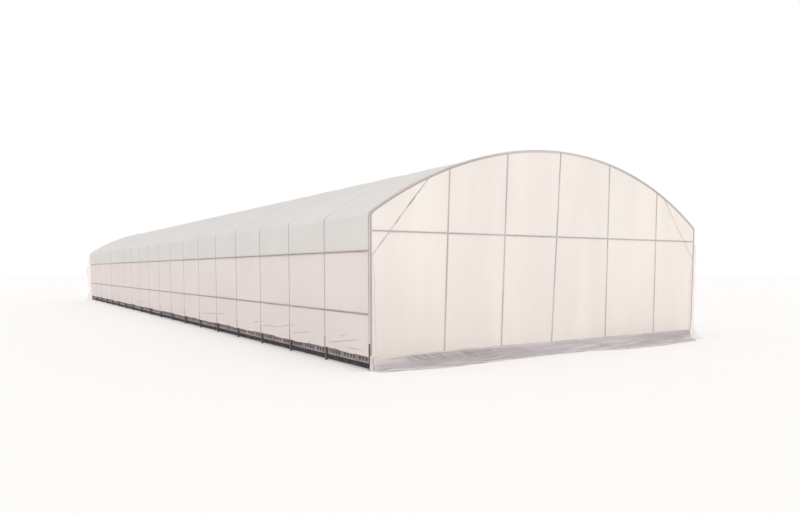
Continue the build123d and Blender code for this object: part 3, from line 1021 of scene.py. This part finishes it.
def corner_hem(name, side, y, out):
    """Folded edge of the gable's film beside a leg, from the knee brace's foot to the floor's edge.

    Its width grows from its top as a power of the distance down, and its middle swells outwards.
    """
    low = floor_top - 0.01
    z, share = np.meshgrid(np.linspace(HEM_TOP, low, 80), np.linspace(0, 1, 12), indexing="ij")
    width = 0.065 + 0.010 * np.sin(4 * z) + 0.005 * np.sin(15 * z)
    width = width * (0.1 + 0.9 * np.clip((HEM_TOP - z) / 0.4, 0, 1) ** 0.8)
    swell = 0.010 * np.sin(math.pi * share) ** 0.7 * (1 + 0.3 * np.sin(11 * z))
    swell = swell * np.clip((HEM_TOP - z) / 0.3, 0.2, 1)
    x = side * (half_span - HEM_INSIDE - share * width)
    away = abs(y) + outer_film_offset + 0.004 + swell
    points = np.stack([x, out * away, z], axis=-1)
    hung_edge(f"{name}_film_hem", points)


def corner_wrap(name, side, y, out):
    """Film folded round the foot of a corner leg, on the gable's side of it, below the floor's edge.

    Its outline in plan is carried down, swells a little above the ground and has small upright creases.
    """
    reach = outer_film_offset + 0.002
    outline = np.array([(0.75 * reach, 0.66 * reach), (0.6 * reach, 0.8 * reach),
                        (0.35 * reach, 0.93 * reach), (0.0, reach), (-0.03, reach), (-0.06, reach),
                        (-0.09, reach - 0.002)])
    z = np.linspace(floor_top + 0.02, 0.006, 30)[:, None]
    swell = 1 + 0.3 * np.exp(-z / 0.05) + 0.03 * np.sin(30 * z)
    creases = 0.0015 * np.sin(26 * z + 2 * np.arange(len(outline)))
    beside = outline[:, 0] * swell + creases
    away = outline[:, 1] * swell + creases
    points = [side * (half_span + beside), out * (abs(y) + away), np.broadcast_to(z, away.shape)]
    made = open_sheet(f"{name}_film_wrap", np.stack(points, axis=-1), hem_finish, "gable_film")


# Floor
def plank_row(name, side):
    """Row of hollow planks: square-cut ends with round cores, blind a little way in.

    Each end is one cell for each core, between a rectangle and the core's circle. The rectangle's points
    are the circle's, pushed out to a square about it and held there.
    """
    count = BAYS * PLANKS_PER_BAY
    pitch = (plank_high[1] - plank_low[1] + PLANK_JOINT) / count
    start_x, end_x = plank_low[0], plank_high[0]
    square_y, square_z = np.clip(circle(CORE_SIDES).T * math.sqrt(2), -1, 1)
    half_plank = (pitch - PLANK_JOINT) / 2
    half_thick = (floor_top - plank_low[2]) / 2
    middle_z = floor_top - half_thick
    outermost = half_plank - (CORES_PER_PLANK - 1) / 2 * CORE_PITCH
    shape = Shape()

    def join(*outlines):
        """Skin between outlines, each given with its depth from the row's outer edge."""
        rings = [np.insert(outline, 0, side * (end_x - depth), axis=1) for outline, depth in outlines]
        shape.grid(np.array(rings), round_v=True)

    for number in range(count):
        middle_y = plank_low[1] + half_plank + pitch * number
        near_y, far_y = middle_y - half_plank, middle_y + half_plank
        shape.box((side * start_x, near_y, plank_low[2]), (side * (end_x - CORE_DEPTH), far_y, floor_top))
        for core in range(CORES_PER_PLANK):
            core_y = middle_y + CORE_PITCH * (core - (CORES_PER_PLANK - 1) / 2)
            before = outermost if core == 0 else CORE_PITCH / 2
            after = outermost if core == CORES_PER_PLANK - 1 else CORE_PITCH / 2
            rim_y = core_y + np.where(square_y < 0, before, after) * square_y
            rim = np.stack([rim_y, middle_z + half_thick * square_z], axis=1)
            hole = (core_y, middle_z) + CORE_RADIUS * circle(CORE_SIDES)
            join((rim, 0), (hole, 0), (hole, CORE_DEPTH))
        skin = [(near_y, plank_low[2]), (far_y, plank_low[2]), (far_y, floor_top), (near_y, floor_top)]
        join((skin, 0), (skin, CORE_DEPTH))
    shape.piece(f"hollow_{name}_floor_planks", concrete_finish, "plank_concrete", [f"{name}_floor_planks"])


def block_wall(node):
    """Low wall of one course of blocks, each with its faces up to a few millimetres in."""
    low, high = node_box(node)
    axis = int(np.argmax(high - low))
    count = max(1, round((high[axis] - low[axis]) / BLOCK_LENGTH))
    edges = np.linspace(low[axis], high[axis], count + 1)
    shape = Shape()
    rng = np.random.default_rng(len(node))
    for start, end in zip(edges[:-1], edges[1:]):
        first, last = low.copy(), high.copy()
        first[axis] = start + BLOCK_JOINT / 2
        last[axis] = end - BLOCK_JOINT / 2
        first[1 - axis] += rng.uniform(0, BLOCK_UNEVENNESS)
        last[1 - axis] -= rng.uniform(0, BLOCK_UNEVENNESS)
        shape.box(first, last)
    shape.piece(f"blocks_of_{node}", masonry_finish, "base_masonry", [node])


# Camera, light and floor
def camera():
    """Camera at the photograph's viewing angle, with the small shift that its framing needs."""
    data = bpy.data.cameras.new("camera")
    data.sensor_width = 36
    data.lens = FOCAL_PIXELS * data.sensor_width / PHOTO_WIDTH
    data.shift_x = (PHOTO_WIDTH / 2 - MIDDLE_PIXEL[0]) / PHOTO_WIDTH
    data.shift_y = (MIDDLE_PIXEL[1] - PHOTO_HEIGHT / 2) / PHOTO_WIDTH
    data.clip_end = VIEW_END
    made = add_object("camera", data)
    turn = Matrix.Rotation(CAMERA_TURN, 4, "Z") @ Matrix.Rotation(math.pi / 2 + CAMERA_RISE, 4, "X")
    made.matrix_world = Matrix.Translation(CAMERA_PLACE) @ turn @ Matrix.Rotation(CAMERA_ROLL, 4, "Z")
    bpy.context.scene.camera = made


def sky():
    """Even light from all round. Rays that come from the eye, metal or glass see plain white instead."""
    world = bpy.data.worlds.new("plain_sky")
    bpy.context.scene.world = world
    nodes = Nodes(world)
    lit = nodes.tree.nodes["Background"]
    nodes.fill(lit.inputs["Color"], WHITE)
    nodes.fill(lit.inputs["Strength"], SKY_STRENGTH)
    eye, metal, glass = [nodes.node("ShaderNodeLightPath", output=f"Is {ray} Ray")
                         for ray in ("Camera", "Glossy", "Transmission")]
    plain = nodes.node("ShaderNodeBackground", inputs={"Color": WHITE})
    seen = {0: eye.higher_of(metal).higher_of(glass), 1: Value(nodes, lit.outputs[0]), 2: plain}
    both = nodes.node("ShaderNodeMixShader", inputs=seen)
    nodes.fill(nodes.tree.nodes["World Output"].inputs["Surface"], both)


def soft_lamp():
    """One broad soft lamp from the front left."""
    lamp = bpy.data.lights.new("soft_sun", "SUN")
    lamp.energy = LAMP_STRENGTH
    lamp.angle = LAMP_WIDTH
    lamp.color = LAMP_TINT
    add_object("soft_sun", lamp).rotation_euler = (LAMP_TILT, 0, LAMP_TURN)


def studio_floor():
    """Plain pale floor."""
    finish = Finish("studio_floor_pale", Roughness=0.9, Base_Color=colour(238, 237, 236))
    mesh = bpy.data.meshes.new("studio_floor")
    near, far = -STUDIO_REACH, STUDIO_REACH
    mesh.from_pydata([(near, near, 0), (far, near, 0), (far, far, 0), (near, far, 0)], [], [(0, 1, 2, 3)])
    mesh.materials.append(finish.material)
    made = add_object("studio_floor", mesh)


camera()
sky()
soft_lamp()
studio_floor()
hoops()
for side_name, side_sign in SIDES:
    sockets(side_sign, f"{side_name}_ground_sockets")
    vent_film(side_name, side_sign)
    apron_film(side_name, side_sign)
    plank_row(side_name, side_sign)
ridge_purlin()
side_rails()
roof_film()
for end_name, end_y, outward in (("front", front_y, -1), ("back", back_y, 1)):
    gable_frame(end_y, end_name)
    gable_rail(end_y, end_name, outward)
    end_rail(end_name)
    gable_films(end_y, end_name, outward)
    ground_skirt(end_y, end_name, outward)
    for side_name, side_sign in SIDES:
        corner_hem(f"{end_name}_{side_name}", side_sign, end_y, outward)
        corner_wrap(f"{end_name}_{side_name}", side_sign, end_y, outward)
corner_flap("front_right", 1, front_y, -1, FRONT_FLAP_WIDTHS, math.radians(12))
corner_flap("back_left", -1, back_y, 1, BACK_FLAP_WIDTHS, math.radians(35))
for wall in ("left", "right", "front", "back", "middle"):
    block_wall(f"{wall}_base_wall")

bpy.context.scene.view_settings.view_transform = "Standard"
